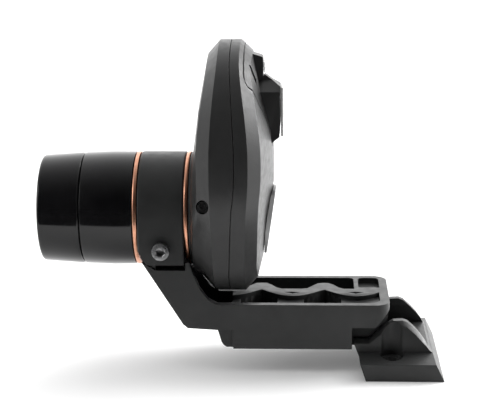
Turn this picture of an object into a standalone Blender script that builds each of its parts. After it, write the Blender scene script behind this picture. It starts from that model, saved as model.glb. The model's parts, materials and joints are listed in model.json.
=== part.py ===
"""Telescope alignment camera, held by a ring clamp on a cast bracket whose dovetail foot sits in a base shoe.

The frame's origin is the middle of the shoe's underside. The lens looks along -X, +Z is up, and the
optical axis lies in the plane y = 0. Sizes below are in millimetres; the scene is in metres.
"""

import math

import bmesh
import bpy
from mathutils import Matrix, Vector

MM = 0.001
GAP = 0.3

# Driving sizes
AXIS_Z = 64.4  # optical axis above the shoe's underside
BARREL_R = 19.6  # outside of the lens barrel where it is clamped
RING_R = 23.4  # outside of the clamp and of the two copper rings
PARTING_X = -67.45  # joint between the camera's two shells, at its sides
BODY_TOP_R = 46.0  # upper circle of the camera's egg outline
BODY_LOW_R = 34.0  # lower circle, concentric with the optical axis
BODY_RISE = 23.6  # distance between the two circles' centres
SHELL_WALL = 2.2
PARTING_SWEEP_TOP = 2.65  # how far the joint leans forward at the top
PARTING_SWEEP_LOW = 3.6  # and at the bottom
ARM_HALF = 21.5  # half the bracket's width
ARM_WALL = 3.2
ARM_TOP_Z = 28.9
ARM_LOW_Z = 10.2
ARM_END_X = -6.05
WAVE_PITCH = 26.3  # one wave of the curved rib along the arm
WAVE_PEAK_X = -32.65
SHOE_HALF = 31.0  # half the base shoe's width
FOOT_TOP_HALF = 13.6  # dovetail foot, at its narrow top
FOOT_LOW_HALF = 16.0  # and at its wide bottom
FOOT_LOW_Z = 10.3

PARTS = bpy.data.collections.new("alignment_camera")
CUTTERS = bpy.data.collections.new("cutters")


def clear_scene():
    for obj in list(bpy.data.objects):
        bpy.data.objects.remove(obj, do_unlink=True)
    bpy.context.scene.collection.children.link(PARTS)
    bpy.context.scene.collection.children.link(CUTTERS)


def material(name, colour, roughness, metallic=0.0, alpha=1.0):
    made = bpy.data.materials.new(name)
    made.use_nodes = True
    shader = made.node_tree.nodes["Principled BSDF"]
    shader.inputs["Base Color"].default_value = (*colour, 1.0)
    shader.inputs["Roughness"].default_value = roughness
    shader.inputs["Metallic"].default_value = metallic
    shader.inputs["Alpha"].default_value = alpha
    return made


# ---------------------------------------------------------------- shapes


def new_object(name, mesh, looks=None, helper=False):
    """A part in its own collection or, with helper, a hidden shape for a Boolean."""
    obj = bpy.data.objects.new(name, mesh)
    (CUTTERS if helper else PARTS).objects.link(obj)
    if helper:
        obj.hide_render = True
        obj.display_type = "WIRE"
    else:
        mesh.materials.append(looks)
    return obj


def finish_mesh(bm, name):
    bmesh.ops.recalc_face_normals(bm, faces=bm.faces)
    mesh = bpy.data.meshes.new(name)
    bm.to_mesh(mesh)
    bm.free()
    return mesh


def smooth(obj, angle=35.0):
    obj.data.shade_smooth()
    obj.data.set_sharp_from_angle(angle=math.radians(angle))
    return obj


def box(name, low, high, looks=None, helper=False, bevel=0.0):
    """A box between two corners, in millimetres."""
    bm = bmesh.new()
    bmesh.ops.create_cube(bm, size=1.0)
    size = [(b - a) * MM for a, b in zip(low, high)]
    bmesh.ops.scale(bm, vec=size, verts=bm.verts)
    obj = new_object(name, finish_mesh(bm, name), looks, helper)
    obj.location = [(a + b) / 2 * MM for a, b in zip(low, high)]
    if bevel:
        soften(obj, bevel)
    return obj


def soften(obj, width, segments=1, angle=40.0):
    modifier = obj.modifiers.new("soft_edges", "BEVEL")
    modifier.width = width * MM
    modifier.segments = segments
    modifier.limit_method = "ANGLE"
    modifier.angle_limit = math.radians(angle)
    return obj


def rod(name, start, end, radius, looks=None, helper=False, sides=24, end_radius=None):
    """A cylinder or cone between two points; its origin is at the start, its local +Z along the axis."""
    start, end = Vector(start) * MM, Vector(end) * MM
    far_radius = radius if end_radius is None else end_radius
    bm = bmesh.new()
    length = (end - start).length
    bmesh.ops.create_cone(
        bm,
        cap_ends=True,
        segments=sides,
        radius1=radius * MM,
        radius2=far_radius * MM,
        depth=length,
        matrix=Matrix.Translation((0, 0, length / 2)),
    )
    obj = new_object(name, finish_mesh(bm, name), looks, helper)
    obj.location = start
    obj.rotation_euler = (end - start).to_track_quat("Z", "Y").to_euler()
    if not helper:
        smooth(obj)
    return obj


def turned(name, profile, looks, steps=56, axis_z=AXIS_Z):
    """Turns (radius, distance ahead of the origin) about the optical axis, or one parallel to it.

    The profile starts at its front and runs back along its outer side. Unless both ends are on
    the axis, it is closed into a ring.
    """
    bm = bmesh.new()
    points = [bm.verts.new((r * MM, 0, ahead * MM)) for r, ahead in profile]
    for a, b in zip(points, points[1:]):
        bm.edges.new((a, b))
    if profile[0][0] > 0 or profile[-1][0] > 0:
        bm.edges.new((points[-1], points[0]))
    mesh = bpy.data.meshes.new(name)
    bm.to_mesh(mesh)
    bm.free()
    obj = new_object(name, mesh, looks)
    obj.location = (0, 0, axis_z * MM)
    obj.rotation_euler = (0, math.radians(-90), 0)
    screw = obj.modifiers.new("turn", "SCREW")
    screw.steps = screw.render_steps = steps
    screw.use_merge_vertices = True
    screw.merge_threshold = 0.00001
    return obj


def prism(name, outline, plane, low, high, looks=None, helper=False):
    """Extrudes a closed outline. Plane "xz" is a side view pushed along Y, "xy" a plan pushed along Z
    and "yz" an end view pushed along X."""
    place = {
        "xz": lambda a, b, depth: (a, depth, b),
        "xy": lambda a, b, depth: (a, b, depth),
        "yz": lambda a, b, depth: (depth, a, b),
    }[plane]
    rings = [[place(a, b, depth) for a, b in outline] for depth in (low, high)]
    return loft(name, rings, looks, helper)


def loft(name, rings, looks=None, helper=False, caps=(True, True)):
    """Skins rings that have the same number of points, given in millimetres."""
    bm = bmesh.new()
    rows = [[bm.verts.new(Vector(p) * MM) for p in ring] for ring in rings]
    for near, far in zip(rows, rows[1:]):
        for i in range(len(near)):
            j = (i + 1) % len(near)
            bm.faces.new((near[i], near[j], far[j], far[i]))
    for wanted, row in zip(caps, (rows[0], rows[-1])):
        if wanted:
            bm.faces.new(row)
    mesh = finish_mesh(bm, name)
    if not all(caps):
        face_outward(mesh)
    return new_object(name, mesh, looks, helper)


def face_outward(mesh):
    """Turns an open skin so that its faces point away from its middle."""
    middle = sum((v.co for v in mesh.vertices), Vector()) / len(mesh.vertices)
    if sum(face.area * face.normal.dot(face.center - middle) for face in mesh.polygons) < 0:
        mesh.flip_normals()


def combine(obj, other, operation):
    modifier = obj.modifiers.new(f"{operation.lower()}_{other.name}"[:60], "BOOLEAN")
    modifier.operation = operation
    modifier.solver = "EXACT"
    modifier.object = other


def cut(obj, *others):
    for other in others:
        combine(obj, other, "DIFFERENCE")


def join(obj, *others):
    for other in others:
        combine(obj, other, "UNION")


def arc(centre, radius, start, end, count):
    """Points of an arc, with angles in degrees."""
    points = []
    for i in range(count + 1):
        angle = math.radians(start + (end - start) * i / count)
        points.append((centre[0] + radius * math.cos(angle), centre[1] + radius * math.sin(angle)))
    return points


# ---------------------------------------------------------------- camera body


def outline_angles():
    """(normal angle, circle) round the egg outline: 240 degrees of the upper circle, then the lower."""
    spread = 1.2  # keeps the two ends of each straight flank apart
    upper = [(-30 + spread + (240 - 2 * spread) * i / 30, "upper") for i in range(31)]
    lower = [(210 + spread + (120 - 2 * spread) * i / 12, "lower") for i in range(13)]
    return upper + lower


def eased(share):
    share = min(1.0, max(0.0, share))
    return share * share * (3 - 2 * share)


def egg(x_side, inset_side, x_top=None, inset_top=None, x_low=None):
    """One ring of the camera body. Its top and its bottom may lie at another x than its sides."""
    x_top = x_side if x_top is None else x_top
    x_low = x_side if x_low is None else x_low
    inset_top = inset_side if inset_top is None else inset_top
    ring = []
    for angle, circle in outline_angles():
        across, up = math.cos(math.radians(angle)), math.sin(math.radians(angle))
        is_upper = circle == "upper"
        rise_angle = math.degrees(math.asin(up))
        towards_top = eased((rise_angle - 5) / 60) if is_upper else 0.0
        towards_low = 0.55 * eased(-rise_angle / 30) if is_upper else 0.55 + 0.45 * eased(-rise_angle / 45)
        x = x_side + (x_top - x_side) * towards_top + (x_low - x_side) * towards_low
        inset = inset_side + (inset_top - inset_side) * towards_top
        radius = (BODY_TOP_R if is_upper else BODY_LOW_R) - inset
        rise = BODY_RISE if is_upper else 0.0
        ring.append((x, across * radius, AXIS_Z + rise + up * radius))
    return ring


def round_ring(x, radius, rise=0.0):
    """A circle with as many points as an egg ring, its centre above the optical axis by rise."""
    ring = []
    for angle, _ in outline_angles():
        across, up = math.cos(math.radians(angle)), math.sin(math.radians(angle))
        ring.append((x, across * radius, AXIS_Z + rise + up * radius))
    return ring


def between(ring, other, ahead):
    """The ring half-way between two, moved forward so that the face between them is domed."""
    return [((a[0] + b[0]) / 2 - ahead, (a[1] + b[1]) / 2, (a[2] + b[2]) / 2) for a, b in zip(ring, other)]


NECK_RINGS = ((-87.15, 23.2), (-86.7, 23.2), (-86.3, 24.1), (-85.95, 26.0))
NECK_BORE = 21.0
# x and inset at the sides, x and inset at the top, then x at the bottom
FRONT_EDGE = (-82.5, 6.0, -79.5, 5.1)  # chamfer, from the front face
FRONT_RIM = (-77.1, 0.0, -74.9, 0.0)  # to the rim
REAR_RIM = (-62.2, 0.0, -66.4, 0.0, -64.75)
REAR_EDGE = (-57.35, 5.5, -61.85, 4.3, -60.05)
REAR_DOME = (
    (-55.9, 14.0, -58.95, 18.0, -57.95),
    (-54.6, 23.0, -56.65, 26.0, -56.9),
    (-53.8, 30.0, -54.7, 33.0, -55.5),
)
SUMMIT = (-53.45, 6.0, 17.5)  # x, radius and rise of the flat middle of the rear dome
INSIDE_FRONT = ((-80.2, 7.1, -77.3, 6.2), (-76.1, SHELL_WALL, -73.9, SHELL_WALL))
INSIDE_REAR = (
    (-63.2, SHELL_WALL, -67.27, SHELL_WALL, -65.75),
    (-59.3, 6.6, -63.9, 5.4, -62.0),
    (-58.1, 14.5, -61.2, 18.5, -60.2),
    (-56.8, 23.5, -58.9, 26.5, -59.1),
    (-56.0, 30.0, -56.9, 33.0, -57.7),
)


def parting(offset, inset=0.0):
    x = PARTING_X + offset
    return egg(x, inset, x - PARTING_SWEEP_TOP, inset, x - PARTING_SWEEP_LOW)


def front_skin():
    neck = [round_ring(*ring) for ring in NECK_RINGS]
    edge = egg(*FRONT_EDGE)
    joint = [parting(-GAP / 2, inset) for inset in (0, 3 * SHELL_WALL)]
    return neck + [between(neck[-1], edge, 0.5), edge, egg(*FRONT_RIM)] + joint


def rear_skin():
    dome = [egg(*ring) for ring in (REAR_RIM, REAR_EDGE) + REAR_DOME]
    joint = [parting(GAP / 2, inset) for inset in (3 * SHELL_WALL, 0)]
    return joint + dome + [round_ring(*SUMMIT)]


def front_hollow(name):
    """The space inside the front shell, run out through the neck and past the parting."""
    neck = [round_ring(-92.0, NECK_BORE), round_ring(-83.75, NECK_BORE), round_ring(-83.2, 25.2)]
    return loft(name, neck + [egg(*ring) for ring in INSIDE_FRONT] + [parting(6.0, SHELL_WALL)], helper=True)


def rear_hollow(name):
    x, radius, rise = SUMMIT
    rings = [parting(-6.0, SHELL_WALL)] + [egg(*ring) for ring in INSIDE_REAR]
    return loft(name, rings + [round_ring(x - SHELL_WALL, radius, rise)], helper=True)


# y, height from the optical axis, x of the front face there
CASE_SCREW_PLACES = ((-26, 44, -81.6), (26, 44, -81.6), (-15, -23.5, -80.9), (15, -23.5, -80.9))
LOCK_SCREW_X = -80.15
# degrees from -Y turning up, outer end of the head from the optical axis
LOCK_SCREW_PLACES = ((13.5, 36.8), (133.5, 45.6), (253.5, 27.0))


def lock_direction(angle):
    return Vector((0, -math.cos(math.radians(angle)), math.sin(math.radians(angle))))


def front_shell(looks):
    shell = smooth(loft("front_shell", front_skin(), looks))
    cut(shell, front_hollow("front_hollow"))
    for i, (y, up, face) in enumerate(CASE_SCREW_PLACES):
        z = AXIS_Z + up
        join(shell, rod(f"front_boss_{i}", (face + 1.0, y, z), (-72.6, y, z), 3.0, helper=True, sides=18))
        cut(shell, rod(f"front_hole_{i}", (-92, y, z), (-60, y, z), 1.5, helper=True, sides=18))
        cut(shell, rod(f"head_recess_{i}", (-92, y, z), (face + 2.0, y, z), 2.5, helper=True, sides=18))
    centre = Vector((LOCK_SCREW_X, 0, AXIS_Z))
    for i, (angle, _) in enumerate(LOCK_SCREW_PLACES):
        outward = lock_direction(angle)
        cut(shell, rod(f"lock_access_{i}", centre + outward * 24.6, centre + outward * 80, 2.7, helper=True))
    return shell


def rear_shell(looks):
    shell = smooth(loft("rear_shell", rear_skin(), looks))
    cut(shell, rear_hollow("rear_hollow"))
    for i, (y, up, _) in enumerate(CASE_SCREW_PLACES):
        z = AXIS_Z + up
        end = -59.4 if up > 0 else -63.2
        join(shell, rod(f"rear_boss_{i}", (-72.0, y, z), (end, y, z), 3.0, helper=True, sides=18))
        cut(shell, rod(f"rear_hole_{i}", (-76, y, z), (-63, y, z), 1.5, helper=True, sides=18))
    cut(shell, shield("shell_opening", SEAM))
    return shell


# near edge of the port panel, below its arc: y and height from the optical axis
SHIELD_EDGE = (
    (-28.6, 57.0),
    (-29.3, 55.0),
    (-28.2, 53.3),
    (-25.0, 51.4),
    (-20.0, 47.7),
    (-15.5, 44.0),
    (-12.3, 40.8),
    (-9.6, 37.6),
)
PORT_HALF = 8.0
PORT_LOW = 27.6
PORT_REAR_X = -50.6
LAMP_FACE_X = -57.5
LAMP_UP = 58.9
VENT = ((20.0, 59.9), (18.0, 62.0), (10.3, 54.8), (12.3, 52.7))  # slanting slot beside the lamp
SEAM = 0.5  # gap round the port panel


def shield(name, grow=0.0):
    """The port panel's outline, wide round the top of the body and narrow round the port below."""
    edge = [(y - grow, up - grow) for y, up in SHIELD_EDGE]
    edge += [(-PORT_HALF - grow, 34.6), (-PORT_HALF - grow, PORT_LOW - grow)]
    top = arc((0, BODY_RISE), BODY_TOP_R - 2.0 + grow, 51, 129, 18)
    right = [(-y, up) for y, up in reversed(edge)]
    outline = [(y, AXIS_Z + up) for y, up in top + edge + right]
    return prism(name, outline, "yz", -78, -40, helper=True)


def port_housing(looks):
    """A panel of the rear skin with a raised port block and, above it, a small lamp block."""
    panel = smooth(loft("port_housing", rear_skin(), looks))
    cut(panel, rear_hollow("panel_hollow"))
    combine(panel, shield("panel_outline"), "INTERSECT")
    side = [(-66, 51.4), (-66, 30.5), (-58, 28.0), (-54.0, 28.6), (-50.9, 31.1)]
    side += [(PORT_REAR_X, 51.3), (-56.6, 55.7)]
    side = [(x, AXIS_Z + up) for x, up in side]
    block = prism("port_block", side, "xz", -PORT_HALF, PORT_HALF, helper=True)
    for sign in (-1, 1):
        slope = ((2.4, 57.0), (2.4, 53.6), (8.6, 48.9), (12, 48.9), (12, 57.0))
        slope = [(sign * y, AXIS_Z + up) for y, up in slope]
        cut(block, prism(f"block_slope_{sign + 1}", slope, "yz", -70, -45, helper=True))
    join(panel, block)
    lamp = [(-66, 64.2), (-66, 54.4), (LAMP_FACE_X, 54.4), (LAMP_FACE_X, 62.7), (-58.0, 63.2), (-62.6, 64.6)]
    lamp = [(x, AXIS_Z + up) for x, up in lamp]
    join(panel, prism("lamp_block", lamp, "xz", -3.6, 3.6, helper=True))
    z = AXIS_Z
    cut(panel, box("jack_bay", (-70, -6.5, z + 35.2), (-40, 6.5, z + 48.4), helper=True))
    cut(panel, box("bay_mouth", (-69, -6.5, z + 33.0), (-57.5, 6.5, z + 48.4), helper=True))
    cut(panel, rod("lamp_hole", (-75, 0, z + LAMP_UP), (-50, 0, z + LAMP_UP), 2.0, helper=True))
    for sign in (-1, 1):
        vent = [(sign * y, z + up) for y, up in VENT]
        cut(panel, prism(f"vent_{sign + 1}", vent, "yz", -64.8, -50, helper=True))
    return panel


def port_parts(silver, black, contact):
    z = AXIS_Z
    plate = box("port_plate", (-50.3, -7.3, z + 31.2), (-49.15, 7.3, z + 51.2), silver, bevel=0.3)
    cut(plate, box("plate_window", (-60, -5.2, z + 37.3), (-40, 5.2, z + 47.2), helper=True))
    jack = box("aux_jack", (-64.5, -6.2, z + 35.5), (PORT_REAR_X, 6.2, z + 48.1), black)
    cut(jack, box("socket", (-61.0, -4.7, z + 37.6), (-40, 4.7, z + 45.6), helper=True))
    cut(jack, box("socket_latch", (-59.0, -2.0, z + 44.2), (-40, 2.0, z + 46.9), helper=True))
    box("jack_contacts", (-60.7, -3.4, z + 38.2), (-54.0, 3.4, z + 38.8), contact)


def status_lamp(clear):
    """A light guide through the lamp block, with a low dome outside."""
    front = -LAMP_FACE_X - GAP
    arc = [math.radians(angle) for angle in (90, 60, 30, 0)]
    dome = [(2.7 * math.sin(angle), front - 1.0 * math.cos(angle)) for angle in arc]
    guide = [(0, 65.5), (1.7, 65.5), (1.7, front)]
    turned("status_lamp", guide + dome, clear, steps=24, axis_z=AXIS_Z + LAMP_UP)


def rear_badge(looks):
    """A plain raised oval that lies on the slope of the rear shell."""
    bm = bmesh.new()
    half_turn_of_a_side = Matrix.Rotation(math.radians(4.5), 4, "Z")
    bmesh.ops.create_cone(
        bm, cap_ends=True, segments=40, radius1=1.0, radius2=1.0, depth=1.0, matrix=half_turn_of_a_side
    )
    bmesh.ops.scale(bm, vec=(10.5 * MM, 14.6 * MM, 5.0 * MM), verts=bm.verts)
    badge = new_object("rear_badge", finish_mesh(bm, "rear_badge"), looks)
    badge.rotation_euler = (math.radians(90), 0, math.radians(90))
    badge.location = (-57.0 * MM, 0, (AXIS_Z - 4.4) * MM)
    lean = Matrix.Rotation(math.radians(8.4), 4, "Y")
    badge.rotation_euler = (lean.to_3x3() @ badge.rotation_euler.to_matrix()).to_euler()
    skin = [[(x + GAP, y, z) for x, y, z in ring] for ring in rear_skin()]
    cut(badge, loft("badge_bed", skin, helper=True))
    return smooth(badge)


def case_hardware(steel, rubber):
    for i, (y, up, face) in enumerate(CASE_SCREW_PLACES):
        z = AXIS_Z + up
        head = rod(f"case_screw_{i + 1}", (face + 0.3, y, z), (face + 1.7, y, z), 2.2, steel, sides=18)
        join(head, rod(f"case_shank_{i}", (face + 1.2, y, z), (-64.0, y, z), 1.2, helper=True, sides=12))
        cut(head, rod(f"case_hex_{i}", (face - 1, y, z), (face + 0.9, y, z), 0.8, helper=True, sides=6))
    for i, (angle, end) in enumerate(LOCK_SCREW_PLACES):
        outward = lock_direction(angle)
        centre = Vector((LOCK_SCREW_X, 0, AXIS_Z))
        head = (centre + outward * 25.0, centre + outward * end)
        screw = rod(f"lens_lock_screw_{i + 1}", *head, 2.3, steel, sides=20)
        shank = (centre + outward * 19.0, centre + outward * 26.0)
        join(screw, rod(f"lock_shank_{i}", *shank, 1.5, helper=True, sides=16))
        hexagon = (centre + outward * (end - 1.0), centre + outward * (end + 1.0))
        cut(screw, rod(f"lock_hex_{i}", *hexagon, 1.1, helper=True, sides=6))
    inset = SHELL_WALL + 0.4
    bead = [parting(offset, inset) for offset in (-2.2, 2.2)]
    gasket = loft("shell_gasket", bead, rubber, caps=(False, False))
    wall = gasket.modifiers.new("wall", "SOLIDIFY")
    wall.thickness = 1.5 * MM
    wall.offset = -1.0
    for i, (y, up, _) in enumerate(CASE_SCREW_PLACES):
        z = AXIS_Z + up
        cut(gasket, rod(f"gasket_notch_{i}", (-80, y, z), (-60, y, z), 3.3, helper=True, sides=18))
    return smooth(gasket)


# ---------------------------------------------------------------- lens


def lens_parts(gloss, satin, copper, glass, black):
    cap = ((0, 148.75), (20.8, 148.75), (21.7, 148.45), (22.1, 147.6), (23.05, 131.65))
    turned("lens_cap", cap + ((20.3, 131.65), (20.3, 146.9), (0, 146.9)), gloss)
    hood = ((18.2, 143.2), (20.0, 143.2), (20.0, 131.35), (23.15, 131.35), (23.55, 119.35), (23.4, 110.05))
    turned("lens_hood", hood + ((19.9, 110.05), (19.9, 118.3), (16.5, 118.3)), gloss)
    for name, rear in (("copper_ring_front", 108.15), ("copper_ring_rear", 87.45)):
        edge = ((RING_R - 0.2, rear + 1.6), (RING_R, rear + 1.4), (RING_R, rear + 0.2), (RING_R - 0.2, rear))
        bore = ((BARREL_R + GAP, rear), (BARREL_R + GAP, rear + 1.6))
        turned(name, edge + bore, copper)
    outside = ((BARREL_R, 118.0), (BARREL_R, 82.8), (24.3, 82.8), (24.3, 77.3), (14.5, 77.3), (14.5, 72.6))
    barrel = turned("lens_barrel", outside + ((12.0, 72.6), (12.0, 84.0), (16.0, 84.0), (16.0, 118.0)), satin)
    centre = Vector((LOCK_SCREW_X, 0, AXIS_Z))
    for i, (angle, _) in enumerate(LOCK_SCREW_PLACES):
        outward = lock_direction(angle)
        cut(barrel, rod(f"lock_thread_{i}", centre + outward * 18, centre + outward * 30, 1.8, helper=True))
    for name, front, middle, back, radius in (
        ("front_lens", 114.6, 117.2, 110.2, 15.7),
        ("second_lens", 105.6, 107.8, 102.0, 15.7),
        ("third_lens", 96.4, 95.0, 93.6, 15.7),
        ("rear_lens", 90.0, 91.6, 86.6, 15.7),
    ):
        turned(name, lens_profile(front, middle, back, radius), glass, steps=32)
    for name, front, back, bore in (
        ("lens_retaining_ring", 117.7, 115.4, 13.6),
        ("front_spacer", 109.8, 106.4, 13.8),
        ("middle_spacer", 101.6, 96.8, 13.8),
        ("rear_spacer", 93.2, 90.5, 13.0),
    ):
        turned(name, ((15.7, front), (15.7, back), (bore, back), (bore, front)), black, steps=32)


def lens_profile(front, middle, back, radius):
    """A lens with its rim from front to back and its front face bulging to the middle height."""
    face = []
    for i in range(5):
        share = i / 4
        face.append((radius * share, middle + (front - middle) * share**2))
    return tuple(face) + ((radius, back), (0, back))


# ---------------------------------------------------------------- electronics


def electronics(green, chip, glass, steel, contact, film):
    z = AXIS_Z
    box("ir_filter", (-72.0, -8, z - 8), (-71.3, 8, z + 8), glass)
    box("image_sensor", (-71.0, -7, z - 6), (-69.9, 7, z + 6), chip)
    box("sensor_board", (-69.6, -17, z - 17), (-68.0, 17, z + 17), green)
    box("main_board", (-63.8, -20, z - 13), (-62.2, 20, z + 27), green)
    box("processor", (-65.6, -7, z - 8), (-64.1, 7, z + 6), chip)
    box("ribbon_socket", (-66.2, -6, z + 19.0), (-64.1, 6, z + 22.0), chip)
    side = [(-67.7, 12), (-67.4, 12), (-67.4, 20.1), (-66.5, 20.1), (-66.5, 20.4), (-67.7, 20.4)]
    prism("sensor_ribbon", [(x, z + up) for x, up in side], "xz", -5, 5, film)
    corner = 14.0
    for i, (y, up) in enumerate(((-1, -1), (1, -1), (-1, 1), (1, 1))):
        place = (y * corner, z + up * corner)
        rod(f"board_standoff_{i + 1}", (-67.7, *place), (-64.1, *place), 2.2, steel, sides=6)


# ---------------------------------------------------------------- clamp and bracket

CLAMP_FRONT = -107.85
CLAMP_BACK = -89.25
CLAMP_INNER = 20.7
LEG_LOW_Z = AXIS_Z - 18.4
CLAMP_SCREW_X = -98.25
CLAMP_SCREW_Z = AXIS_Z - 12.0


def strap_outline(outer, low):
    """An upside-down U round the optical axis."""
    outside = arc((0, AXIS_Z), RING_R - outer, 0, 180, 28)
    inside = arc((0, AXIS_Z), CLAMP_INNER, 180, 0, 28)
    feet_out = [(-RING_R + outer, low)]
    feet_in = [(-CLAMP_INNER, low)]
    return outside + feet_out + feet_in + inside + [(CLAMP_INNER, low), (RING_R - outer, low)]


def clamp(casting, steel, rubber):
    soft = 0.5
    rings = []
    ends = ((CLAMP_FRONT, soft), (CLAMP_FRONT + soft, 0), (CLAMP_BACK - soft, 0), (CLAMP_BACK, soft))
    for x, inset in ends:
        rings.append([(x, y, z) for y, z in strap_outline(inset, LEG_LOW_Z)])
    strap = smooth(loft("clamp_strap", rings, casting))
    corner = [(-112, 52.5), (CLAMP_FRONT, 51.6), (-104.4, LEG_LOW_Z), (-103.8, 40), (-112, 40)]
    cut(strap, prism("strap_corner", corner, "xz", -30, 30, helper=True))
    hole = ((CLAMP_SCREW_X, -30, CLAMP_SCREW_Z), (CLAMP_SCREW_X, 30, CLAMP_SCREW_Z))
    cut(strap, rod("strap_hole", *hole, 2.3, helper=True))
    for name, side in (("near", -1), ("far", 1)):
        clamp_screw(name, side, steel)
    liner_out, liner_in = CLAMP_INNER - GAP, BARREL_R + GAP
    band = arc((0, AXIS_Z), liner_out, 4, 176, 26) + arc((0, AXIS_Z), liner_in, 176, 4, 26)
    return smooth(prism("clamp_liner", band, "yz", CLAMP_FRONT + 0.6, CLAMP_BACK - 0.6, rubber))


def clamp_screw(name, side, steel):
    """A socket cap screw whose head stands proud of the strap's leg. It turns about Y."""

    def at(y):
        return (CLAMP_SCREW_X, side * y, CLAMP_SCREW_Z)

    low, high = RING_R + GAP, RING_R + 3.9
    screw = rod(f"clamp_screw_{name}", at(low), at(high), 3.5, steel, sides=28)
    join(screw, rod(f"clamp_shank_{name}", at(18.4), at(low + 1), 1.9, helper=True, sides=20))
    cut(screw, rod(f"clamp_hex_{name}", at(high - 2.1), at(high + 2), 1.75, helper=True, sides=6))
    return screw


LEG_GAP_Z = 43.3  # the bracket's side walls end below the strap's legs
# The bracket's side view: x, z, from the clamp down the slope, along the underside and back
BRACKET_SIDE = (
    (-106.5, 46.6),
    (-90.15, 20.5),
    (-88.2, 18.9),
    (-76.45, 18.2),
    (-75.5, 15.2),
    (-74.7, 12.4),
    (-73.8, 11.0),
    (-72.6, ARM_LOW_Z),
    (-21.45, ARM_LOW_Z),
    (-21.45, 19.3),
    (-11.9, 19.3),
    (ARM_END_X, 26.1),
    (ARM_END_X, ARM_TOP_Z),
    (-76.0, ARM_TOP_Z),
    (-77.8, 29.8),
    (-79.95, 31.1),
    (-83.25, 35.7),
    (-86.25, 43.0),
    (-87.3, 46.6),
    (-88.8, 46.6),
    (-88.8, LEG_GAP_Z),
    (-101.0, LEG_GAP_Z),
)
ARM_INNER = ARM_HALF - ARM_WALL
ARM_POCKET_X = (-72.2, -9.85)
POCKET_FLOOR_Z = 13.8
SHALLOW_FLOOR_Z = 27.0
POCKET_HALF = 7.7  # half the length of each deep pocket under a peak of the rib
RIB_HALF = 1.9


def wave_near(x):
    """Near edge of the curved rib: round at its valleys, pointed at its peaks."""
    phase = abs(((x - WAVE_PEAK_X) / WAVE_PITCH + 0.5) % 1.0 - 0.5) * 2
    return -8.6 + 9.6 * (1 - math.cos(math.pi / 2 * (1 - phase)))


def wave_far(x):
    """Far edge of the curved rib: a round-shouldered bump behind each peak."""
    away = abs(((x - WAVE_PEAK_X) / WAVE_PITCH + 0.5) % 1.0 - 0.5) * WAVE_PITCH
    share = min(1.0, max(0.0, (8.2 - away) / 6.6))
    return RIB_HALF + 8.6 * (share * share * (3 - 2 * share))


def shallow_edge(x):
    """Near edge of the rib, kept off the thin end of its valleys."""
    return max(wave_near(x), -9.2)


def pocket(name, edge, wall, start, end, floor, corner=2.0):
    """A pocket of the arm in plan: one long side follows the rib, the other is the arm's wall."""
    steps = max(4, round((end - start) / 2.2))
    along = [(start + (end - start) * i / steps) for i in range(steps + 1)]
    rib = [(x, edge(x)) for x in along]
    inward = -1 if wall > 0 else 1
    turn = [(end, wall + inward * corner), (end - corner * 0.3, wall + inward * corner * 0.3)]
    turn.append((end - corner, wall))
    back = [(start + corner, wall), (start + corner * 0.3, wall + inward * corner * 0.3)]
    back += [(start, wall + inward * corner)]
    return prism(name, rib + turn + back, "xy", floor, ARM_TOP_Z + 12, helper=True)


def arm_pockets():
    start, end = ARM_POCKET_X
    peaks = [WAVE_PEAK_X - 0.7 - turn * WAVE_PITCH for turn in range(2)]
    cutters = []
    for i, x in enumerate(peaks):
        ends = (x - POCKET_HALF, x + POCKET_HALF)
        cutters.append(pocket(f"near_pocket_{i}", wave_near, -ARM_INNER, *ends, POCKET_FLOOR_Z, 1.4))
    cutters += [
        pocket("near_channel", shallow_edge, -ARM_INNER, start, end, SHALLOW_FLOOR_Z, 4.2),
        pocket("far_pocket", wave_far, ARM_INNER, start, -20.0, POCKET_FLOOR_Z + 4.4),
        pocket("far_recess", lambda x: 4.0, ARM_INNER, -18.2, -9.4, ARM_TOP_Z - 2.4),
    ]
    for i, turn in enumerate((-1.5, -0.5, 0.5)):
        middle = WAVE_PEAK_X + turn * WAVE_PITCH
        slit = [(middle - 3.4, -3.1), (middle, -5.0), (middle + 3.4, -3.1), (middle, -2.5)]
        cutters.append(prism(f"rib_slit_{i}", slit, "xy", POCKET_FLOOR_Z + 6, ARM_TOP_Z + 2, helper=True))
    return cutters


def slope_pockets():
    """Two bays in the sloping part, left and right of its middle rib, open towards the camera."""
    side = [(-98.6, 40.4), (-88.4, 24.2), (-76.9, 22.2), (-70.5, 22.2), (-70.5, 32.0), (-80.0, 60.0)]
    side += [(-87.9, 60.0), (-87.9, 40.4)]
    bays = []
    for name, low, high in (("near_bay", -ARM_INNER, -RIB_HALF), ("far_bay", RIB_HALF, ARM_INNER)):
        bays.append(prism(name, side, "xz", low, high, helper=True))
    crest = [(-87.9, 60.0), (-87.9, 39.2), (-85.4, 39.2), (-76.3, 29.0), (-72.0, 29.0), (-72.0, 60.0)]
    bays.append(prism("rib_crest", crest, "xz", -RIB_HALF - 1, RIB_HALF + 1, helper=True))
    return bays


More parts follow.
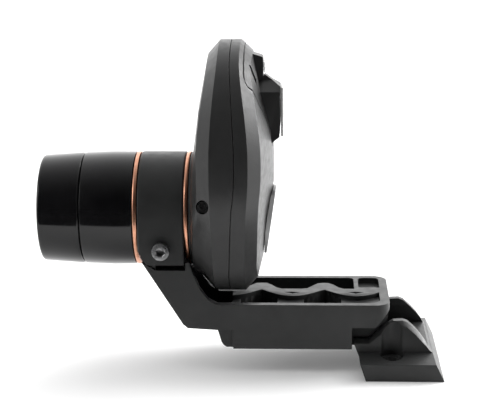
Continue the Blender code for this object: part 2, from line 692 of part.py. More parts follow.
def bracket_arm(looks):
    """The casting: saddle under the barrel, slope, ribbed arm and dovetail foot."""
    arm = prism("bracket_arm", BRACKET_SIDE, "xz", -ARM_HALF, ARM_HALF, looks)
    corner = arm_end_corners()
    cut(arm, *corner)
    saddle = box("saddle", (-107.2, -20.4, 40), (-90.3, 20.4, AXIS_Z - 5.5), helper=True)
    outside_slope = [(-115, 60), (-108.6, 50.6), (-97.6, 33.0), (-115, 30)]
    cut(saddle, prism("saddle_corner", outside_slope, "xz", -30, 30, helper=True))
    join(arm, saddle)
    for sign in (-1, 1):
        under_leg = [(sign * 16.5, LEG_GAP_Z), (sign * 25, LEG_GAP_Z), (sign * 25, 46.2), (sign * 16.5, 46.2)]
        cut(arm, prism(f"under_leg_{sign + 1}", under_leg, "yz", -101.0, -88.8, helper=True))
    foot = foot_rings(-25.0, -6.6, 0.0)
    foot = loft("dovetail_foot", foot, helper=True)
    join(arm, foot)
    for sign in (-1, 1):
        nose = [(-80, 19.2), (-70.4, 19.2), (-69.8, 19.8), (-69.8, 25), (-80, 25)]
        nose = [(x, sign * y) for x, y in nose]
        cut(arm, prism(f"nose_{sign + 1}", nose, "xy", 5, 18.2, helper=True))
    cut(arm, *slope_pockets(), *arm_pockets())
    cut(arm, rod("barrel_seat", (-120, 0, AXIS_Z), (-84, 0, AXIS_Z), BARREL_R + GAP, helper=True, sides=56))
    ring_relief(arm)
    screw = ((CLAMP_SCREW_X, -30, CLAMP_SCREW_Z), (CLAMP_SCREW_X, 30, CLAMP_SCREW_Z))
    cut(arm, rod("saddle_thread", *screw, 2.2, helper=True))
    return smooth(arm, 30)


def ring_relief(arm):
    """Room for the copper rings, the neck and the camera body, also while the camera turns."""
    for name, front, front_radius, back, back_radius in (
        ("neck_relief", -86.5, 26.6, -82.45, 28.8),
        ("chamfer_relief", -82.6, 28.6, -77.0, 34.9),
        ("body_relief", -77.1, 34.9, -45.0, 34.9),
    ):
        ends = ((front, 0, AXIS_Z), (back, 0, AXIS_Z))
        cut(arm, rod(name, *ends, front_radius, helper=True, sides=64, end_radius=back_radius))
    for name, front, back, radius in (
        ("front_ring_relief", -125, -107.9, RING_R + 0.4),
        ("rear_ring_relief", -89.2, -80.0, RING_R + 0.6),
    ):
        cut(arm, rod(name, (front, 0, AXIS_Z), (back, 0, AXIS_Z), radius, helper=True, sides=56))


def arm_end_corners():
    """Rounds the free end of the arm in plan."""
    radius = 6.0
    end = ARM_END_X
    corners = []
    for sign in (-1, 1):
        centre = (end - radius, sign * (ARM_HALF - radius))
        quarter = arc(centre, radius, 0, sign * 90, 8)
        outline = quarter + [(end - radius, sign * (ARM_HALF + 3)), (end + 3, sign * (ARM_HALF + 3))]
        outline += [(end + 3, sign * (ARM_HALF - radius))]
        corners.append(prism(f"end_corner_{sign + 1}", outline, "xy", 5, ARM_TOP_Z + 5, helper=True))
    return corners


def foot_rings(front, back, grow):
    """Dovetail section from front to back; grow widens it for the channel that takes it."""
    low = FOOT_LOW_Z - grow
    section = [
        (-FOOT_LOW_HALF - grow, low),
        (FOOT_LOW_HALF + grow, low),
        (FOOT_TOP_HALF + grow, 18.0),
        (FOOT_TOP_HALF + grow, 24.0),
        (-FOOT_TOP_HALF - grow, 24.0),
        (-FOOT_TOP_HALF - grow, 18.0),
    ]
    return [[(x, y, z) for y, z in section] for x in (front, back)]


# ---------------------------------------------------------------- base shoe

SHOE_LOW_X = (-16.05, 15.5)
SCREW_SEAT = (-5.15, 22.5, 5.7)  # x, y on the far side, height of the seat
SEAT_TILT = 13.0
THUMB_X = -10.0
THUMB_Z = 13.4


def shoe_side():
    """Side view of the shoe's two walls: a low front, a ramp, a flat crest and a rounded back."""
    crest = [(-20.6, 13.4), (-14.4, 13.4), (-8.6, 18.6), (-4.6, 21.0), (-0.8, 21.2), (1.2, 20.5)]
    back = [(4.4, 17.6), (7.0, 14.7), (8.9, 12.0), (10.0, 9.9), (11.3, 8.4), (SHOE_LOW_X[1], 0.0)]
    return [(SHOE_LOW_X[0], 0.0)] + crest + back


def shoe_walls():
    """Ring by ring across the shoe, so that the walls' outer top edges slope away."""
    full = shoe_side()
    rings = []
    for y, drop in ((-19.6, 1.7), (-17.0, 0.0), (17.0, 0.0), (19.6, 1.7)):
        ring = []
        for x, z in full:
            lower = drop * min(1.0, max(0.0, (z - 8.6) / 6.0))
            ring.append((x, y, z - lower))
        rings.append(ring)
    return loft("shoe_walls", rings, helper=True)


def shoe_flanges():
    rings = []
    for y, top in ((-SHOE_HALF, 7.0), (-19.0, 8.4), (19.0, 8.4), (SHOE_HALF, 7.0)):
        low_front, low_back = SHOE_LOW_X
        ring = [(low_front, y, 0), (low_back, y, 0), (low_back - 0.48 * top, y, top)]
        rings.append(ring + [(low_front - 0.33 * top, y, top)])
    return rings


def dovetail_base(looks):
    shoe = loft("dovetail_base", shoe_flanges(), looks)
    join(shoe, shoe_walls())
    channel = foot_rings(-40, 40, GAP)
    channel = loft("channel", channel, helper=True)
    cut(shoe, channel)
    mouth = FOOT_TOP_HALF + GAP
    cut(shoe, box("channel_mouth", (-40, -mouth, 17), (40, mouth, 40), helper=True))
    seat_x, seat_y, seat_z = SCREW_SEAT
    for sign in (-1, 1):
        tilt = math.radians(SEAT_TILT) * sign
        up = Vector((0, math.sin(tilt), math.cos(tilt)))
        seat = Vector((seat_x, sign * seat_y, seat_z))
        groove_y = sign * 21.7
        groove_ends = ((seat_x, groove_y, 6.6), (seat_x, groove_y, 40))
        groove = rod(f"driver_groove_{sign + 1}", *groove_ends, 4.75, helper=True)
        counterbore = rod(f"counterbore_{sign + 1}", seat, seat + up * 12, 4.2, helper=True)
        relief = rod(f"seat_relief_{sign + 1}", seat - up * 1.4, seat - up * 12, 5.6, helper=True)
        slot = slot_cutter(f"screw_slot_{sign + 1}", seat, tilt)
        cut(shoe, groove, counterbore, relief, slot)
    cavity = [(-12.6, 0), (12.4, 0), (11.2, 3.2), (-13.4, 3.2)]
    for sign in (-1, 1):
        edges = sorted((sign * 3.5, sign * 27.8))
        hollow = [(x, z - (z == 0)) for x, z in cavity]
        cut(shoe, prism(f"underside_{sign + 1}", hollow, "xz", *edges, helper=True))
    cut(shoe, box("underside_pass", (-9.6, -5, -1), (-1.6, 5, 3.2), helper=True))
    thumb = ((THUMB_X, 12, THUMB_Z), (THUMB_X, 30, THUMB_Z))
    cut(shoe, rod("thumb_thread", *thumb, 2.3, helper=True))
    return smooth(shoe, 30)


def slot_cutter(name, seat, tilt):
    """A round-ended slot across the seat, 4 mm wide."""
    outline = arc((0, 1.6), 2.0, 0, 180, 8) + arc((0, -1.6), 2.0, 180, 360, 8)
    slot = prism(name, outline, "xy", -8, 8, helper=True)
    slot.location = seat * MM
    slot.rotation_euler = (-tilt, 0, 0)
    return slot


def thumbscrew(steel, black, brass):
    """Clamping screw through the far wall: it turns about Y and presses a pad on the foot's flank."""
    start, end = (THUMB_X, 17.6, THUMB_Z), (THUMB_X, 31.0, THUMB_Z)
    rod("thumbscrew_shank", start, end, 2.0, steel, sides=20)
    knob_start, knob_end = (THUMB_X, 22.4, THUMB_Z), (THUMB_X, 33.4, THUMB_Z)
    knob = rod("thumbscrew_knob", knob_start, knob_end, 5.0, black, sides=30)
    bore = ((THUMB_X, 20, THUMB_Z), (THUMB_X, 31.3, THUMB_Z))
    cut(knob, rod("knob_bore", *bore, 2.0 + GAP, helper=True, sides=20))
    pad_start, pad_end = (THUMB_X, 16.0, THUMB_Z), (THUMB_X, 17.3, THUMB_Z)
    rod("pressure_pad", pad_start, pad_end, 1.9, brass, sides=20)


# ---------------------------------------------------------------- assembly


def build():
    clear_scene()
    shell_black = material("shell_black", (0.024, 0.024, 0.024), 0.55)
    gloss_black = material("gloss_black", (0.008, 0.008, 0.008), 0.12)
    satin_black = material("satin_black", (0.02, 0.02, 0.02), 0.45, 0.6)
    cast_black = material("cast_black", (0.027, 0.028, 0.027), 0.6, 0.2)
    copper = material("copper", (0.62, 0.27, 0.13), 0.3, 1.0)
    steel = material("steel", (0.07, 0.07, 0.07), 0.35, 1.0)
    silver = material("silver", (0.75, 0.75, 0.74), 0.3, 0.9)
    glass = material("coated_glass", (0.65, 0.8, 0.75), 0.05, 0.0, 0.4)
    rubber = material("rubber", (0.015, 0.015, 0.015), 0.8)
    green = material("circuit_board", (0.02, 0.16, 0.07), 0.5)
    chip = material("chip", (0.03, 0.03, 0.035), 0.4)
    contact = material("gold_contact", (0.8, 0.55, 0.2), 0.3, 1.0)
    film = material("ribbon_film", (0.55, 0.3, 0.08), 0.5)
    clear = material("clear_lamp", (0.85, 0.85, 0.85), 0.1, 0.0, 0.8)
    badge = material("badge_grey", (0.42, 0.42, 0.42), 0.4)

    lens_parts(gloss_black, satin_black, copper, glass, rubber)
    front_shell(shell_black)
    rear_shell(shell_black)
    case_hardware(steel, rubber)
    port_housing(shell_black)
    port_parts(silver, rubber, contact)
    status_lamp(clear)
    rear_badge(badge)
    electronics(green, chip, glass, steel, contact, film)
    clamp(cast_black, steel, rubber)
    bracket_arm(cast_black)
    dovetail_base(cast_black)
    thumbscrew(steel, rubber, contact)


build()
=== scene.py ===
import json
import math

import bmesh
import bpy
from mathutils import Matrix, Vector


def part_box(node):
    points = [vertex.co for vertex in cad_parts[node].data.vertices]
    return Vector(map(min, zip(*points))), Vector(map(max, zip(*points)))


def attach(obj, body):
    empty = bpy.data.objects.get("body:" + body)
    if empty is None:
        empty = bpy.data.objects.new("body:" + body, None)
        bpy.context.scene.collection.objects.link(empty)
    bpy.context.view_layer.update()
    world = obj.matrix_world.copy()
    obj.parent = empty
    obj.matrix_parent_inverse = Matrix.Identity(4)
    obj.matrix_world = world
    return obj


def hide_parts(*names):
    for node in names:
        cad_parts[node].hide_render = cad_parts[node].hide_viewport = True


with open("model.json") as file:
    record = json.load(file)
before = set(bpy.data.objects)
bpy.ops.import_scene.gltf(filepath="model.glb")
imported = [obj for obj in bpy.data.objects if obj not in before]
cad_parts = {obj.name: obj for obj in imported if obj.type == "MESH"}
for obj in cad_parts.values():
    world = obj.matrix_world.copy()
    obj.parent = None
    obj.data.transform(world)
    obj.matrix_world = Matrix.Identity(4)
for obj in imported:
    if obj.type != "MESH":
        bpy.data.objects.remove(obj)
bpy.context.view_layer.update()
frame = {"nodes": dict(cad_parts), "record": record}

MM = 0.001
AXIS_Z = 64.4 * MM  # optical axis above the shoe's underside
ROUND_STEPS = 144  # sides of a turned piece
SHARP_DEG = 35.0  # edges sharper than this stay crisp on the turned pieces
FLAT_DEG = 0.6  # faces this close to one plane are joined
BEVEL_FROM_DEG = 38  # edges sharper than this are rounded
WELD = 0.002 * MM
FLOOR_RADIUS = 9.0
FLOOR_GAP = 0.15 * MM  # keeps the floor clear of the shoe's underside
SLOT_OF = {row["node"]: row["material_slot"] for row in frame["record"]["subparts"]}
BODY_OF = {
    node: body for body, nodes in frame["record"]["behaviour"]["bodies"].items() for node in nodes
}


# ---------------------------------------------------------------- materials


def principled(name, colour, roughness, metallic=0.0, **inputs):
    """A material with a Principled shader. Returns it, its node tree and its shader."""
    made = bpy.data.materials.new(name)
    made.use_nodes = True
    tree = made.node_tree
    shader = tree.nodes["Principled BSDF"]
    shader.inputs["Base Color"].default_value = (*colour, 1)
    shader.inputs["Roughness"].default_value = roughness
    shader.inputs["Metallic"].default_value = metallic
    for key, value in inputs.items():
        shader.inputs[key.replace("_", " ")].default_value = value
    return made, tree, shader


def noise(tree, per_metre, detail=3.0, stretch=(1, 1, 1)):
    """A noise value in the object's own space, with features about 1 / per_metre wide."""
    place = tree.nodes.new("ShaderNodeTexCoord")
    mapping = tree.nodes.new("ShaderNodeMapping")
    mapping.inputs["Scale"].default_value = stretch
    texture = tree.nodes.new("ShaderNodeTexNoise")
    texture.inputs["Scale"].default_value = per_metre
    texture.inputs["Detail"].default_value = detail
    tree.links.new(place.outputs["Object"], mapping.inputs["Vector"])
    tree.links.new(mapping.outputs["Vector"], texture.inputs["Vector"])
    return texture.outputs["Fac"]


def spread(tree, value, low, high):
    """Maps the middle of a noise value onto low to high."""
    ranged = tree.nodes.new("ShaderNodeMapRange")
    ranged.inputs["From Min"].default_value = 0.3
    ranged.inputs["From Max"].default_value = 0.7
    ranged.inputs["To Min"].default_value = low
    ranged.inputs["To Max"].default_value = high
    tree.links.new(value, ranged.inputs["Value"])
    return ranged.outputs["Result"]


def shades(tree, shader, value, dark, light):
    """Base colour that wanders between two close shades."""
    ramp = tree.nodes.new("ShaderNodeValToRGB")
    ramp.color_ramp.elements[0].position = 0.3
    ramp.color_ramp.elements[1].position = 0.7
    ramp.color_ramp.elements[0].color = (*dark, 1)
    ramp.color_ramp.elements[1].color = (*light, 1)
    tree.links.new(value, ramp.inputs["Fac"])
    tree.links.new(ramp.outputs["Color"], shader.inputs["Base Color"])


def relief(tree, shader, value, depth, edge=0.0):
    """Bump of that depth in metres; edge rounds the corners that light meets, by that radius."""
    bump = tree.nodes.new("ShaderNodeBump")
    bump.inputs["Strength"].default_value = 1.0
    bump.inputs["Distance"].default_value = depth
    tree.links.new(value, bump.inputs["Height"])
    if edge:
        corner = tree.nodes.new("ShaderNodeBevel")
        corner.samples = 6
        corner.inputs["Radius"].default_value = edge
        tree.links.new(corner.outputs["Normal"], bump.inputs["Normal"])
    tree.links.new(bump.outputs["Normal"], shader.inputs["Normal"])


def moulded_plastic():
    """Spark-eroded black housing plastic: fine even grain, slightly uneven sheen."""
    made, tree, shader = principled("shell_black", (0.024, 0.024, 0.024), 0.36, Specular_IOR_Level=0.3)
    shades(tree, shader, noise(tree, 90, 4), (0.021, 0.021, 0.0212), (0.027, 0.027, 0.0272))
    tree.links.new(spread(tree, noise(tree, 400, 2), 0.32, 0.42), shader.inputs["Roughness"])
    relief(tree, shader, noise(tree, 1900, 2), 0.03 * MM, 0.25 * MM)
    return made


def gloss_plastic():
    """Polished black plastic of the cap and the hood, with faint turning waves and dust."""
    made, tree, shader = principled("gloss_black", (0.004, 0.004, 0.0045), 0.1, Specular_IOR_Level=0.42)
    tree.links.new(spread(tree, noise(tree, 260, 5), 0.07, 0.14), shader.inputs["Roughness"])
    shades(tree, shader, noise(tree, 120, 3), (0.003, 0.003, 0.0035), (0.006, 0.006, 0.0065))
    relief(tree, shader, noise(tree, 60, 1, (4, 1, 1)), 0.02 * MM, 0.2 * MM)
    return made


def cast_metal():
    """Powder-coated casting: fine orange-peel coat, a little uneven in gloss and shade."""
    made, tree, shader = principled("cast_black", (0.027, 0.028, 0.027), 0.38, Specular_IOR_Level=0.28)
    shades(tree, shader, noise(tree, 70, 5), (0.022, 0.0225, 0.0225), (0.03, 0.0305, 0.0305))
    tree.links.new(spread(tree, noise(tree, 300, 3), 0.32, 0.44), shader.inputs["Roughness"])
    relief(tree, shader, noise(tree, 1500, 3), 0.03 * MM, 0.35 * MM)
    return made


def anodised():
    """Black anodised aluminium of the lens barrel."""
    made, tree, shader = principled("satin_black", (0.02, 0.02, 0.02), 0.4, 0.7)
    tree.links.new(spread(tree, noise(tree, 500, 3, (6, 1, 1)), 0.32, 0.46), shader.inputs["Roughness"])
    relief(tree, shader, noise(tree, 900, 2, (8, 1, 1)), 0.01 * MM, 0.15 * MM)
    return made


def copper():
    """Turned and polished copper-coloured ring, with fine tool marks round it."""
    made, tree, shader = principled("copper", (0.72, 0.33, 0.2), 0.32, 1.0)
    shades(tree, shader, noise(tree, 300, 3), (0.68, 0.32, 0.2), (0.82, 0.43, 0.29))
    tree.links.new(spread(tree, noise(tree, 700, 3, (10, 1, 1)), 0.26, 0.4), shader.inputs["Roughness"])
    relief(tree, shader, noise(tree, 700, 2, (14, 1, 1)), 0.006 * MM)
    return made


def black_steel():
    """Black-oxide steel, with paler rubbed patches."""
    made, tree, shader = principled("black_steel", (0.14, 0.14, 0.142), 0.32, 0.9)
    shades(tree, shader, noise(tree, 900, 4), (0.15, 0.15, 0.152), (0.34, 0.34, 0.345))
    tree.links.new(spread(tree, noise(tree, 1200, 3), 0.25, 0.42), shader.inputs["Roughness"])
    relief(tree, shader, noise(tree, 2400, 2), 0.008 * MM, 0.12 * MM)
    return made


def speckled(name, dark, light, roughness, metallic, grain, depth, **inputs):
    """A plainer material: two close shades, uneven roughness and a fine relief."""
    made, tree, shader = principled(name, light, roughness, metallic, **inputs)
    shades(tree, shader, noise(tree, grain / 6, 3), dark, light)
    uneven = spread(tree, noise(tree, grain / 3, 3), roughness * 0.85, min(1.0, roughness * 1.2))
    tree.links.new(uneven, shader.inputs["Roughness"])
    relief(tree, shader, noise(tree, grain, 2), depth)
    return made


def circuit_board():
    """Green solder resist over a pattern of copper tracks."""
    made, tree, shader = principled("circuit_board", (0.01, 0.12, 0.05), 0.35)
    tracks = tree.nodes.new("ShaderNodeTexBrick")
    place = tree.nodes.new("ShaderNodeTexCoord")
    turn = tree.nodes.new("ShaderNodeMapping")
    turn.inputs["Rotation"].default_value = (0, math.radians(90), 0)
    tracks.inputs["Scale"].default_value = 260
    tracks.inputs["Mortar Size"].default_value = 0.03
    tracks.inputs["Color1"].default_value = (0.008, 0.1, 0.04, 1)
    tracks.inputs["Color2"].default_value = (0.012, 0.13, 0.055, 1)
    tracks.inputs["Mortar"].default_value = (0.03, 0.2, 0.08, 1)
    tree.links.new(place.outputs["Object"], turn.inputs["Vector"])
    tree.links.new(turn.outputs["Vector"], tracks.inputs["Vector"])
    tree.links.new(tracks.outputs["Color"], shader.inputs["Base Color"])
    relief(tree, shader, tracks.outputs["Fac"], 0.02 * MM)
    return made


def all_materials():
    grey, near_black = (0.42, 0.42, 0.42), (0.012, 0.012, 0.012)
    rubber_light = (0.018, 0.018, 0.018)
    return {
        "shell_black": moulded_plastic(),
        "gloss_black": gloss_plastic(),
        "cast_black": cast_metal(),
        "satin_black": anodised(),
        "copper": copper(),
        "black_steel": black_steel(),
        "circuit_board": circuit_board(),
        "rubber": speckled("rubber", near_black, rubber_light, 0.7, 0, 2400, 0.03 * MM),
        "coated_glass": speckled(
            "coated_glass", (0.6, 0.78, 0.72), (0.68, 0.82, 0.77), 0.03, 0, 200, 0.0,
            Transmission_Weight=0.9, IOR=1.6,
        ),
        "silver": speckled("silver", (0.74, 0.74, 0.73), (0.8, 0.8, 0.79), 0.42, 0.6, 900, 0.001 * MM),
        "port_plastic": speckled("port_plastic", near_black, (0.022, 0.022, 0.022), 0.35, 0, 2000, 0.01 * MM),
        "contact": speckled("contact", (0.75, 0.48, 0.16), (0.85, 0.6, 0.25), 0.25, 1, 1500, 0.004 * MM),
        "lamp": speckled(
            "lamp", (0.8, 0.8, 0.8), (0.9, 0.9, 0.9), 0.14, 0, 900, 0.004 * MM,
            Transmission_Weight=0.55, IOR=1.49,
        ),
        "badge": speckled("badge", (0.38, 0.38, 0.38), grey, 0.34, 0, 1800, 0.008 * MM, Coat_Weight=0.3),
        "chip": speckled("chip", (0.024, 0.024, 0.028), (0.034, 0.034, 0.04), 0.5, 0, 3000, 0.01 * MM),
        "ribbon": speckled("ribbon", (0.5, 0.26, 0.06), (0.6, 0.34, 0.1), 0.35, 0, 1200, 0.005 * MM),
    }


LOOKS = all_materials()


# ---------------------------------------------------------------- mesh helpers


def add_piece(name, mesh, node):
    """A finer piece that stands for a CAD node, on its body and with its finish."""
    piece = bpy.data.objects.new(name, mesh)
    bpy.context.scene.collection.objects.link(piece)
    mesh.materials.append(LOOKS[SLOT_OF[node]])
    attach(piece, BODY_OF[node])
    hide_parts(node)
    return piece


def finish_bmesh(bm, name, sharp=SHARP_DEG):
    bmesh.ops.recalc_face_normals(bm, faces=bm.faces)
    mesh = bpy.data.meshes.new(name)
    bm.to_mesh(mesh)
    bm.free()
    mesh.shade_smooth()
    mesh.set_sharp_from_angle(angle=math.radians(sharp))
    return mesh


def refined(node, width, sharp):
    """The CAD node's own surface, with flat areas made whole and edges rounded."""
    bm = bmesh.new()
    bm.from_mesh(frame["nodes"][node].data)
    for layer in list(bm.loops.layers.float_vector.values()):
        bm.loops.layers.float_vector.remove(layer)
    bmesh.ops.remove_doubles(bm, verts=bm.verts, dist=WELD)
    flat = math.radians(FLAT_DEG)
    bmesh.ops.dissolve_limit(bm, angle_limit=flat, verts=bm.verts, edges=bm.edges, delimit=set())
    mesh = finish_bmesh(bm, f"fine_{node}", sharp)
    piece = add_piece(f"fine_{node}", mesh, node)
    if width:
        bevel = piece.modifiers.new("edges", "BEVEL")
        bevel.width = width
        bevel.segments = 2
        bevel.limit_method = "ANGLE"
        bevel.angle_limit = math.radians(BEVEL_FROM_DEG)
        bevel.use_clamp_overlap = True
        bevel.harden_normals = True
    return piece


def ringed(name, node, rings, centre, axis, sides=ROUND_STEPS, start_closed=True, end_closed=True):
    """Rings of points round an axis. Each ring is (distance along, radius or function of angle).

    With start_closed off, the last ring is joined to the first one.
    """
    axis = Vector(axis).normalized()
    across = axis.orthogonal().normalized()
    up = axis.cross(across)
    bm = bmesh.new()
    rows = []
    for along, radius in rings:
        row = []
        for i in range(sides):
            angle = 2 * math.pi * i / sides
            reach = radius(angle) if callable(radius) else radius
            spot = Vector(centre) + axis * along + (across * math.cos(angle) + up * math.sin(angle)) * reach
            row.append(bm.verts.new(spot))
        rows.append(row)
    for low, high in zip(rows, rows[1:]):
        for i in range(sides):
            j = (i + 1) % sides
            bm.faces.new((low[i], low[j], high[j], high[i]))
    if start_closed:
        bm.faces.new(rows[0])
    if end_closed:
        bm.faces.new(rows[-1])
    if not start_closed:
        for i in range(sides):
            j = (i + 1) % sides
            bm.faces.new((rows[-1][i], rows[-1][j], rows[0][j], rows[0][i]))
    return add_piece(name, finish_bmesh(bm, name), node)


def hexagon(across_flats):
    """Radius of a hexagonal socket at each angle."""
    half = across_flats / 2

    def radius(angle):
        return half / math.cos((angle % (math.pi / 3)) - math.pi / 6)

    return radius


def fluted(radius, depth, count):
    """Radius of a knurled or fluted side at each angle."""
    return lambda angle: radius - depth * (0.5 - 0.5 * math.cos(angle * count)) ** 2


def turned_along_x(name, node, profile, front, solid):
    """Turned piece on the optical axis, from (radius, distance behind its front) in mm.

    A solid piece is closed on the axis at both ends; any other profile is a closed loop.
    """
    rings = [(front + behind * MM, radius * MM) for radius, behind in profile]
    ringed(name, node, rings, (0, 0, AXIS_Z), (1, 0, 0), start_closed=solid, end_closed=solid)


# ---------------------------------------------------------------- the object's pieces


def lens_cap():
    """The cap: a chamfered front, a slightly flared side and a thin open rim."""
    low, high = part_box("lens_cap")
    length, radius = (high.x - low.x) / MM, (high.y - low.y) / 2 / MM
    outside = [(20.7, 0.0), (21.3, 0.08), (21.7, 0.3), (21.95, 0.7), (22.05, 1.2), (22.1, 2.0)]
    outside += [(radius - 0.03, length - 0.9), (radius - 0.15, length - 0.4), (radius - 0.6, length)]
    inside = [(20.35, length), (20.35, 2.0), (19.9, 1.85)]
    turned_along_x("fine_lens_cap", "lens_cap", outside + inside, low.x, True)


def lens_hood():
    """The hood: a spigot for the cap, a flared side and a ribbed bore."""
    low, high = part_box("lens_hood")
    length, radius = (high.x - low.x) / MM, (high.y - low.y) / 2 / MM
    step = length - 21.3
    profile = [(18.2, 0.0), (19.7, 0.0), (20.0, 0.3), (20.0, step), (radius - 1.0, step)]
    profile += [(radius - 0.55, step + 0.35), (radius - 0.4, step + 0.9), (radius, step + 12.0)]
    profile += [(radius - 0.13, length - 0.5), (radius - 0.25, length - 0.15), (radius - 0.55, length)]
    profile += [(19.95, length), (19.95, length - 8.25), (16.5, length - 8.25)]
    # light-trapping steps down the inside
    for i in range(8):
        behind = length - 9.5 - i * 2.6
        profile += [(16.9 + i * 0.12, behind), (16.6 + i * 0.12, behind - 0.5)]
    turned_along_x("fine_lens_hood", "lens_hood", profile, low.x, False)


def copper_rings():
    """The two rings, each with a half-round rim."""
    for name in ("copper_ring_front", "copper_ring_rear"):
        low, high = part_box(name)
        width, radius = (high.x - low.x) / MM, (high.y - low.y) / 2 / MM
        crown = []
        for i in range(7):
            angle = math.pi * i / 6
            reach = radius - 0.45 + 0.45 * math.sin(angle)
            crown.append((reach, width / 2 - width / 2 * math.cos(angle)))
        bore = [(radius - 3.4, width), (radius - 3.4, 0.0)]
        turned_along_x(f"fine_{name}", name, crown + bore, low.x, False)


def clamp_screws():
    """Socket head cap screws: chamfered, knurled head with a hexagon socket, and a threaded shank."""
    for name, side in (("near", -1), ("far", 1)):
        node = f"clamp_screw_{name}"
        low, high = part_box(node)
        centre = (low + high) / 2
        inner = min(abs(low.y), abs(high.y))
        outer = max(abs(low.y), abs(high.y))
        head = (high.x - low.x) / 2
        height, pitch = 3.6 * MM, 0.7 * MM
        crest, root = 1.88 * MM, 1.6 * MM  # radii of the thread
        top = outer - inner
        knurl = fluted(head, 0.16 * MM, 30)
        rings = [(0.0, 1.2 * MM), (0.3 * MM, root)]
        turn = 0.3 * MM
        while turn + pitch < top - height:
            rings += [(turn + pitch * 0.5, crest), (turn + pitch, root)]
            turn += pitch
        rings += [(top - height, crest), (top - height, head - 0.35 * MM)]
        rings += [(top - height + 0.2 * MM, head - 0.1 * MM)]
        rings += [(top - height + 0.35 * MM, knurl), (top - 0.7 * MM, knurl), (top - 0.5 * MM, head)]
        rings += [(top - 0.18 * MM, head), (top - 0.05 * MM, head - 0.1 * MM), (top, head - 0.28 * MM)]
        rings += [(top, 2.0 * MM), (top - 0.25 * MM, hexagon(3.3 * MM)), (top - 2.1 * MM, hexagon(3.1 * MM))]
        rings += [(top - 2.5 * MM, 0.3 * MM)]
        base = Vector((centre.x, side * inner, centre.z))
        ringed(f"fine_{node}", node, rings, base, (0, side, 0), sides=180)


def thumbscrew():
    """A fluted knob with a dished end, on the far side of the shoe."""
    low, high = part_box("thumbscrew_knob")
    centre, radius, length = (low + high) / 2, (high.x - low.x) / 2, high.y - low.y
    flute = fluted(radius, 0.55 * MM, 18)
    bore = 2.3 * MM
    rings = [(0.0, bore), (0.0, 3.3 * MM), (0.25 * MM, 3.6 * MM), (2.0 * MM, 3.7 * MM)]
    rings += [(2.6 * MM, radius - 0.8 * MM), (3.1 * MM, flute), (length - 1.0 * MM, flute)]
    rings += [(length - 0.35 * MM, radius - 0.6 * MM), (length, radius - 1.2 * MM)]
    rings += [(length - 0.05 * MM, 2.6 * MM), (length - 0.4 * MM, 2.0 * MM), (length - 0.42 * MM, 0.2 * MM)]
    closed_bore = [(length - 2.1 * MM, 0.2 * MM), (length - 2.1 * MM, bore)]
    base = Vector((centre.x, low.y, centre.z))
    ringed(
        "fine_thumbscrew_knob", "thumbscrew_knob", rings + closed_bore, base, (0, 1, 0), sides=180,
        start_closed=False, end_closed=False,
    )


def status_lamp():
    """A light guide with a domed end."""
    low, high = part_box("status_lamp")
    centre, radius = (low + high) / 2, (high.y - low.y) / 2
    length = high.x - low.x
    rings = [(0.0, 1.5 * MM), (0.1 * MM, 1.7 * MM), (length - 1.0 * MM, 1.7 * MM)]
    for i in range(9):
        angle = math.radians(10 * i)
        rings.append((length - 1.0 * MM + 1.0 * MM * math.sin(angle), radius * math.cos(angle)))
    ringed("fine_status_lamp", "status_lamp", rings, (low.x, 0, centre.z), (1, 0, 0), sides=64)


def cad_surfaces():
    """The other nodes keep the CAD surface; the castings and shells get rounded edges."""
    own_shape = {"lens_cap", "lens_hood", "copper_ring_front", "copper_ring_rear", "status_lamp"}
    own_shape |= {"clamp_screw_near", "clamp_screw_far", "thumbscrew_knob"}
    # width of the rounded edges, and the least angle of a sharp edge
    rounded = {
        "bracket_arm": (0.4 * MM, 32),
        "dovetail_base": (0.4 * MM, 32),
        "front_shell": (0.25 * MM, 17),
        "rear_shell": (0.25 * MM, 17),
        "port_housing": (0.25 * MM, 17),
    }
    for node in sorted(frame["nodes"]):
        if node not in own_shape:
            refined(node, *rounded.get(node, (0.0, 32)))


# ---------------------------------------------------------------- floor, light and camera


def studio_floor():
    """A wide pale disc just under the shoe, with a faint glow that softens the shadow."""
    bm = bmesh.new()
    bmesh.ops.create_circle(bm, cap_ends=True, segments=96, radius=FLOOR_RADIUS)
    mesh = bpy.data.meshes.new("studio_floor")
    bm.to_mesh(mesh)
    bm.free()
    floor = bpy.data.objects.new("studio_floor", mesh)
    floor.location.z = -FLOOR_GAP
    bpy.context.scene.collection.objects.link(floor)
    pale, _, _ = principled(
        "pale_floor", (0.93, 0.93, 0.93), 0.8, Emission_Color=(1, 1, 1, 1), Emission_Strength=0.12
    )
    mesh.materials.append(pale)


def area_light(name, place, target, size, watts):
    """A soft box. Its glow reaches the object, and it is aimed at target."""
    data = bpy.data.lights.new(name, "AREA")
    data.shape = "RECTANGLE"
    data.size, data.size_y = size
    data.energy = watts
    lamp = bpy.data.objects.new(name, data)
    lamp.location = place
    aim = Vector(target) - Vector(place)
    lamp.rotation_euler = aim.to_track_quat("-Z", "Y").to_euler()
    bpy.context.scene.collection.objects.link(lamp)


def flag():
    """A black card before the object, flat and then upright. Only reflections see it."""
    near, far, half = -1.4, -0.15, 1.6
    low, high = 1.0 * MM, 0.2
    bm = bmesh.new()
    corners = ((far, low), (near, low), (near, high))
    rows = [[bm.verts.new((x, y, z)) for x in (-half, half)] for y, z in corners]
    for (a, b), (c, d) in zip(rows, rows[1:]):
        bm.faces.new((a, b, d, c))
    mesh = bpy.data.meshes.new("black_flag")
    bm.to_mesh(mesh)
    bm.free()
    card = bpy.data.objects.new("black_flag", mesh)
    bpy.context.scene.collection.objects.link(card)
    black, _, _ = principled("flag_black", (0.004, 0.004, 0.004), 1.0)
    mesh.materials.append(black)
    card.visible_camera = card.visible_diffuse = card.visible_shadow = False


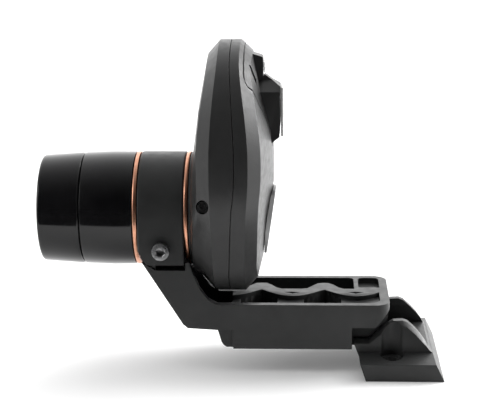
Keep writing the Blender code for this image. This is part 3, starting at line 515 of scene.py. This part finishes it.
def studio_light():
    """A bright sweep behind the object, a dark room before it, and an overhead sheet."""
    world = bpy.data.worlds.new("studio")
    bpy.context.scene.world = world
    world.use_nodes = True
    tree = world.node_tree
    tree.nodes["Background"].inputs["Color"].default_value = (1, 1, 1, 1)
    place = tree.nodes.new("ShaderNodeTexCoord")
    split = tree.nodes.new("ShaderNodeSeparateXYZ")
    ranged = tree.nodes.new("ShaderNodeMapRange")
    ranged.inputs["From Min"].default_value = -1.0
    falloff = tree.nodes.new("ShaderNodeMath")
    falloff.operation = "POWER"
    falloff.inputs[1].default_value = 1.9
    brightest = tree.nodes.new("ShaderNodeMath")
    brightest.operation = "MULTIPLY"
    brightest.inputs[1].default_value = 2.1
    tree.links.new(place.outputs["Generated"], split.inputs["Vector"])
    tree.links.new(split.outputs["Y"], ranged.inputs["Value"])
    tree.links.new(ranged.outputs["Result"], falloff.inputs[0])
    tree.links.new(falloff.outputs["Value"], brightest.inputs[0])
    tree.links.new(brightest.outputs["Value"], tree.nodes["Background"].inputs["Strength"])
    sheet = bpy.data.lights.new("overhead_sheet", "SUN")
    sheet.energy = 1.3
    sheet.angle = math.radians(80)
    sun = bpy.data.objects.new("overhead_sheet", sheet)
    sun.rotation_euler = (math.radians(-10), math.radians(10), 0)
    sun.visible_glossy = False
    bpy.context.scene.collection.objects.link(sun)
    middle = (-0.05, 0, 0.06)
    area_light("rear_right_box", (0.8, 0.5, 0.35), middle, (0.7, 0.9), 17)
    area_light("front_left_box", (-0.9, -0.25, 0.4), middle, (0.4, 0.6), 2.5)


def camera():
    """The eye stands before the -Y side, 0.6 m away and 13.5 degrees above the axis."""
    frame_width_px, frame_height_px = 480, 416
    focal_px = 1450.0
    distance = 600 * MM
    rise = math.radians(13.5)
    sight_px = (313.0, 207.5)  # where the aim point falls in the frame
    aim_point = Vector((-37.35 * MM, 0, AXIS_Z))
    back = Vector((0, -math.cos(rise), math.sin(rise)))
    right = Vector((1, 0, 0))
    up = right.cross(-back).normalized()
    aside = frame_width_px / 2 - sight_px[0]
    above = frame_height_px / 2 - sight_px[1]
    forward = (-back * focal_px + right * aside - up * above).normalized()
    side = forward.cross(Vector((0, 0, 1))).normalized()
    turn = Matrix((side, side.cross(forward), -forward)).transposed()
    data = bpy.data.cameras.new("camera")
    data.sensor_fit = "HORIZONTAL"
    data.sensor_width = 36
    data.lens = focal_px * data.sensor_width / frame_width_px
    data.clip_start, data.clip_end = 0.01, 50
    eye = bpy.data.objects.new("camera", data)
    eye.matrix_world = (
        Matrix.Translation(aim_point + back * distance)
        @ (turn @ Matrix.Rotation(math.radians(-0.6), 3, "Z")).to_4x4()
    )
    bpy.context.scene.collection.objects.link(eye)
    bpy.context.scene.camera = eye


lens_cap()
lens_hood()
copper_rings()
clamp_screws()
thumbscrew()
status_lamp()
cad_surfaces()
studio_floor()
flag()
studio_light()
camera()
bpy.context.scene.view_settings.view_transform = "Standard"
